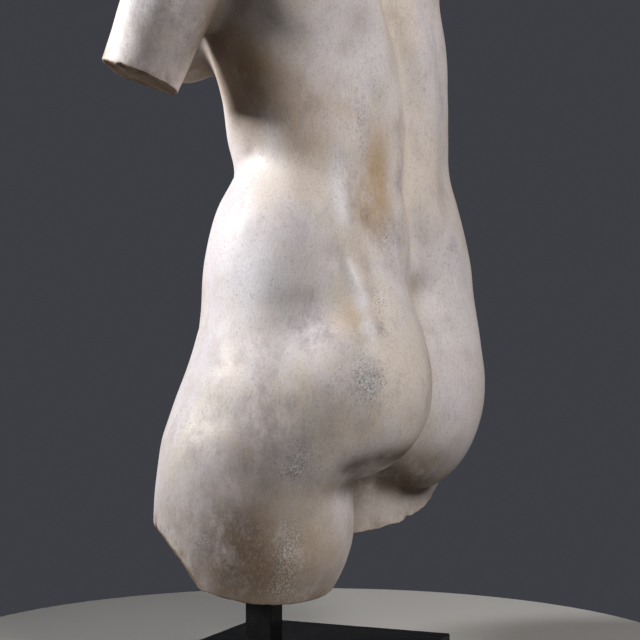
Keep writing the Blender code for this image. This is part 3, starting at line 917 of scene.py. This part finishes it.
class StoneFinish(Finish):
    """Pale cast stone with a brushed, stained and pitted surface, and with painted shade and painted
    highlights.
    """

    def __init__(self):
        super().__init__("weathered cast stone")
        self.streaks = self.noise(0.0012, 2.0, 0.6, (1.0, 1.0, 12.0))
        self.grain = self.noise(0.0015, 3.0, 0.65, shift=3.0)
        self.clouds = self.noise(0.070, 5.0, 0.55, (1.0, 1.0, 1.5), 5.0)
        self.mottle = self.noise(0.018, 10.0, 0.72, (1.0, 1.0, 1.4), 9.0)
        self.spread = self.noise(0.036, 8.0, 0.66, (1.0, 1.0, 1.3), 13.0)
        self.specks = self.noise(0.0016, 2.0, 0.6, shift=17.0)
        stains = self.times(self.plus(self.mottle, self.spread), 0.5)
        # The darkening mark: darker towards the bottom of the thighs, and painted shade in the folds, under
        # the breast, on the arm and on the ribs
        self.dirt_and_shade = self.times(self.mark("dirt_and_shade"), self.step(stains, 0.24, 0.52, 0.92))
        self.crusted = self.times(self.mark("crust"), self.step(self.mottle, 0.36, 0.56), True)
        self.pits = self.pitted()

    def pitted(self):
        """Where the small dark pits are, thickest in the speckled and crusted places."""
        specky = self.times(self.plus(self.mark("speckle"), self.mark("crust"), True), 0.12)
        specky = self.plus(specky, self.step(self.clouds, 0.45, 0.7, 0.02))
        spots = self.noise(0.0013, 2.0, 0.6, shift=23.0)
        return self.step(self.plus(spots, specky), 0.70, 0.76)

    def stained(self):
        """The bare stone's colour, with its stains and settled dirt, painted shade in its folds and
        hollows, and painted highlights and painted light on lit places.
        """
        colour = self.mix(self.step(self.clouds, 0.38, 0.62), CREAM, CHALK)
        colour = self.mix(self.step(self.spread, 0.50, 0.74, 0.45), colour, TAN)
        # Grey stains, and painted shade where grey patches darken the hip hollow, the groove, the ridge's
        # dark side, the left arm and a gloss spot
        greyed = self.times(self.mark("grey"), self.step(self.mottle, 0.36, 0.62, 0.75))
        greyed = self.plus(self.step(self.mottle, 0.50, 0.70, 0.30), greyed, True)
        colour = self.mix(greyed, colour, SLATE)
        ochre = self.times(self.mark("ochre"), self.step(self.spread, 0.24, 0.54, 0.86))
        colour = self.mix(ochre, colour, OCHRE)
        # Painted highlights and painted light on lit places, with a little whitened crust
        pale = self.times(self.mark("pale"), self.step(self.mottle, 0.20, 0.48))
        colour = self.mix(pale, colour, PAINTED_LIGHT_AND_CRUST_WHITE)
        # Darker and browner towards the bottom of the thighs, and painted shade in the folds, where the
        # thighs meet, under the left breast, on the left arm and on the ribs under it
        colour = self.mix(self.dirt_and_shade, colour, DARK_BROWN)
        # Browner where the surface is closed in: dirt settled in the hollows, and painted shade
        hollow_dirt_and_shade = self.times(self.mark("hollow"), self.step(self.spread, 0.20, 0.55, 0.80))
        colour = self.mix(hollow_dirt_and_shade, colour, DARK_BROWN)
        colour = self.mix(self.step(self.streaks, 0.36, 0.64, 0.32), colour, CHALK, "MULTIPLY")
        return self.mix(self.step(self.grain, 0.45, 0.72, 0.36), colour, TAN, "MULTIPLY")

    def spotted(self, colour):
        """A colour with the crust, its white grains, grey flecks and dark pits over it."""
        colour = self.mix(self.times(self.crusted, 0.25), colour, CRUST_GREY)
        white = self.times(self.crusted, self.step(self.specks, 0.49, 0.57))
        colour = self.mix(white, colour, CRUST_WHITE)
        soiled = self.plus(self.times(self.mark("grey"), 0.6), self.times(self.mark("speckle"), 0.8), True)
        flecks = self.noise(0.0026, 3.0, 0.7, (1.0, 1.0, 1.6), 29.0)
        flecked = self.step(self.plus(flecks, self.times(soiled, 0.10)), 0.58, 0.68, 0.42)
        colour = self.mix(flecked, colour, SLATE)
        return self.mix(self.times(self.pits, 0.60), colour, SPECK)

    def broken(self, colour):
        """A colour with browned rims, and the darker stone of the breaks instead of it."""
        edge = self.times(self.mark("rim"), self.step(self.mottle, 0.40, 0.62, 0.60))
        colour = self.mix(edge, colour, BROKEN)
        inside = self.mix(self.step(self.specks, 0.35, 0.65), DARK_BROWN, BROKEN)
        inside = self.mix(self.step(self.spread, 0.45, 0.70, 0.5), inside, TAN)
        return self.mix(self.mark("fracture"), colour, inside)

    def roughness(self):
        rough = self.plus(self.step(self.mottle, 0.35, 0.65, 0.14), 0.43)
        rough = self.plus(rough, self.times(self.crusted, 0.30))
        rough = self.plus(rough, self.times(self.mark("grey"), 0.20))
        rough = self.plus(rough, self.times(self.dirt_and_shade, 0.25))
        return self.plus(rough, self.times(self.mark("fracture"), 0.4), True)

    def relief(self):
        """Brush marks, grain, pits and the crumbly crust and breaks."""
        surface = self.bump(self.streaks, 0.00010, 0.6)
        surface = self.bump(self.grain, 0.00020, 0.6, surface)
        surface = self.bump(self.times(self.pits, -1.0), 0.0005, 0.7, surface)
        crumbly = self.plus(self.times(self.crusted, 0.8), self.mark("fracture"), True)
        return self.bump(self.times(crumbly, self.specks), 0.0018, 0.8, surface)


def stone_finish():
    f = StoneFinish()
    f.feed(f.shader.inputs["Base Color"], f.broken(f.spotted(f.stained())))
    f.feed(f.shader.inputs["Roughness"], f.roughness())
    f.feed(f.shader.inputs["Normal"], f.relief())
    return f.material


def steel_finish():
    """Blackened mill steel with a thin, uneven film of dust."""
    f = Finish("blackened steel")
    scale = f.noise(0.010, 6.0, 0.6)
    brushed = f.noise(0.0007, 2.0, 0.6, (1.0, 1.0, 30.0), 5.0)
    dust = f.times(f.noise(0.030, 6.0, 0.65, shift=9.0), f.noise(0.0012, 2.0, 0.6, shift=2.0))
    colour = f.mix(f.step(scale, 0.35, 0.7), DARK_STEEL, WORN_STEEL)
    colour = f.mix(f.step(dust, 0.25, 0.42, 0.20), colour, STEEL_DUST)
    f.feed(f.shader.inputs["Base Color"], colour)
    f.shader.inputs["Metallic"].default_value = 0.55
    f.feed(f.shader.inputs["Roughness"], f.plus(f.step(scale, 0.3, 0.7, 0.22), 0.36))
    surface = f.bump(scale, 0.0003, 0.5)
    f.feed(f.shader.inputs["Normal"], f.bump(brushed, 0.00008, 0.6, surface))
    return f.material


def floor_finish():
    f = Finish("pale floor")
    colour = f.mix(f.noise(0.15, 4.0), FLOOR_DARK, FLOOR_LIGHT)
    f.feed(f.shader.inputs["Base Color"], colour)
    f.shader.inputs["Roughness"].default_value = 0.8
    return f.material


def dress_torso():
    torso = carve()
    cut_socket(torso)
    mark_weathering(torso)
    torso.data.shade_smooth()
    torso.data.set_sharp_from_angle(angle=math.radians(SHARP_EDGE_DEG))
    torso.data.materials.clear()
    torso.data.materials.append(stone_finish())
    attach(torso, "root")
    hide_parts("torso")


def dress_stand():
    steel = steel_finish()
    for name in ("post", "base_plate"):
        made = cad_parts[name]
        for place in made.material_slots:
            place.material = steel


def add_floor():
    points = [(FLOOR_RADIUS * math.cos(a), FLOOR_RADIUS * math.sin(a), 0.0)
              for a in np.linspace(0.0, 2.0 * math.pi, FLOOR_CORNERS, endpoint=False)]
    floor = add_mesh("floor", np.array(points), np.array([range(FLOOR_CORNERS)]))
    floor.data.materials.append(floor_finish())


def view_axes():
    """Level directions of the photograph: to its right, and away from the camera."""
    turn = math.radians(VIEW_TURN_DEG)
    right = Vector((-math.sin(turn), math.cos(turn), 0.0))
    away = Vector((-math.cos(turn), -math.sin(turn), 0.0))
    return right, away


def add_camera():
    camera = bpy.data.objects.new("camera", bpy.data.cameras.new("camera"))
    bpy.context.scene.collection.objects.link(camera)
    right, away = view_axes()
    camera.location = -(right * VIEW_ASIDE + away * VIEW_DISTANCE)
    camera.location.z = PLATE_THICKNESS + EYE_HEIGHT
    camera.data.sensor_width = SENSOR_MM
    camera.data.lens = FOCAL_PIXELS / IMAGE_SIDE * SENSOR_MM
    pitch = math.atan((IMAGE_SIDE / 2 - HORIZON_ROW) / FOCAL_PIXELS)
    sight = away * math.cos(pitch) - Vector((0.0, 0.0, math.sin(pitch)))
    camera.rotation_euler = sight.to_track_quat("-Z", "Y").to_euler()
    bpy.context.scene.camera = camera


def add_light(name, azimuth_deg, elevation_deg, aim, reach, size, watts, colour, spread_deg=180.0):
    """A soft light that points at a height above the plate's middle.

    Azimuth 0 is beside the camera, and positive to the photograph's right.
    """
    right, away = view_axes()
    a, e = math.radians(azimuth_deg), math.radians(elevation_deg)
    level = right * math.sin(a) - away * math.cos(a)
    direction = level * math.cos(e) + Vector((0.0, 0.0, math.sin(e)))
    light = bpy.data.lights.new(name, "AREA")
    light.size = size
    light.energy = watts
    light.color = colour
    light.spread = math.radians(spread_deg)
    made = bpy.data.objects.new(name, light)
    bpy.context.scene.collection.objects.link(made)
    made.location = Vector((0.0, 0.0, aim)) + direction * reach
    made.rotation_euler = (-direction).to_track_quat("-Z", "Y").to_euler()


def light_studio():
    add_light("key", azimuth_deg=-89.0, elevation_deg=20.0, aim=0.61, reach=2.0, size=0.6,
              watts=6.4, colour=(0.98, 0.985, 1.0), spread_deg=52.0)
    add_light("fill", azimuth_deg=45.0, elevation_deg=30.0, aim=0.52, reach=2.0, size=0.8,
              watts=28.0, colour=(1.0, 0.975, 0.95))
    world = bpy.data.worlds.new("studio")
    bpy.context.scene.world = world
    world.use_nodes = True
    world.node_tree.nodes["Background"].inputs["Color"].default_value = STUDIO_DARK


def main():
    dress_torso()
    dress_stand()
    add_floor()
    add_camera()
    light_studio()
    bpy.context.scene.view_settings.view_transform = "Standard"


main()
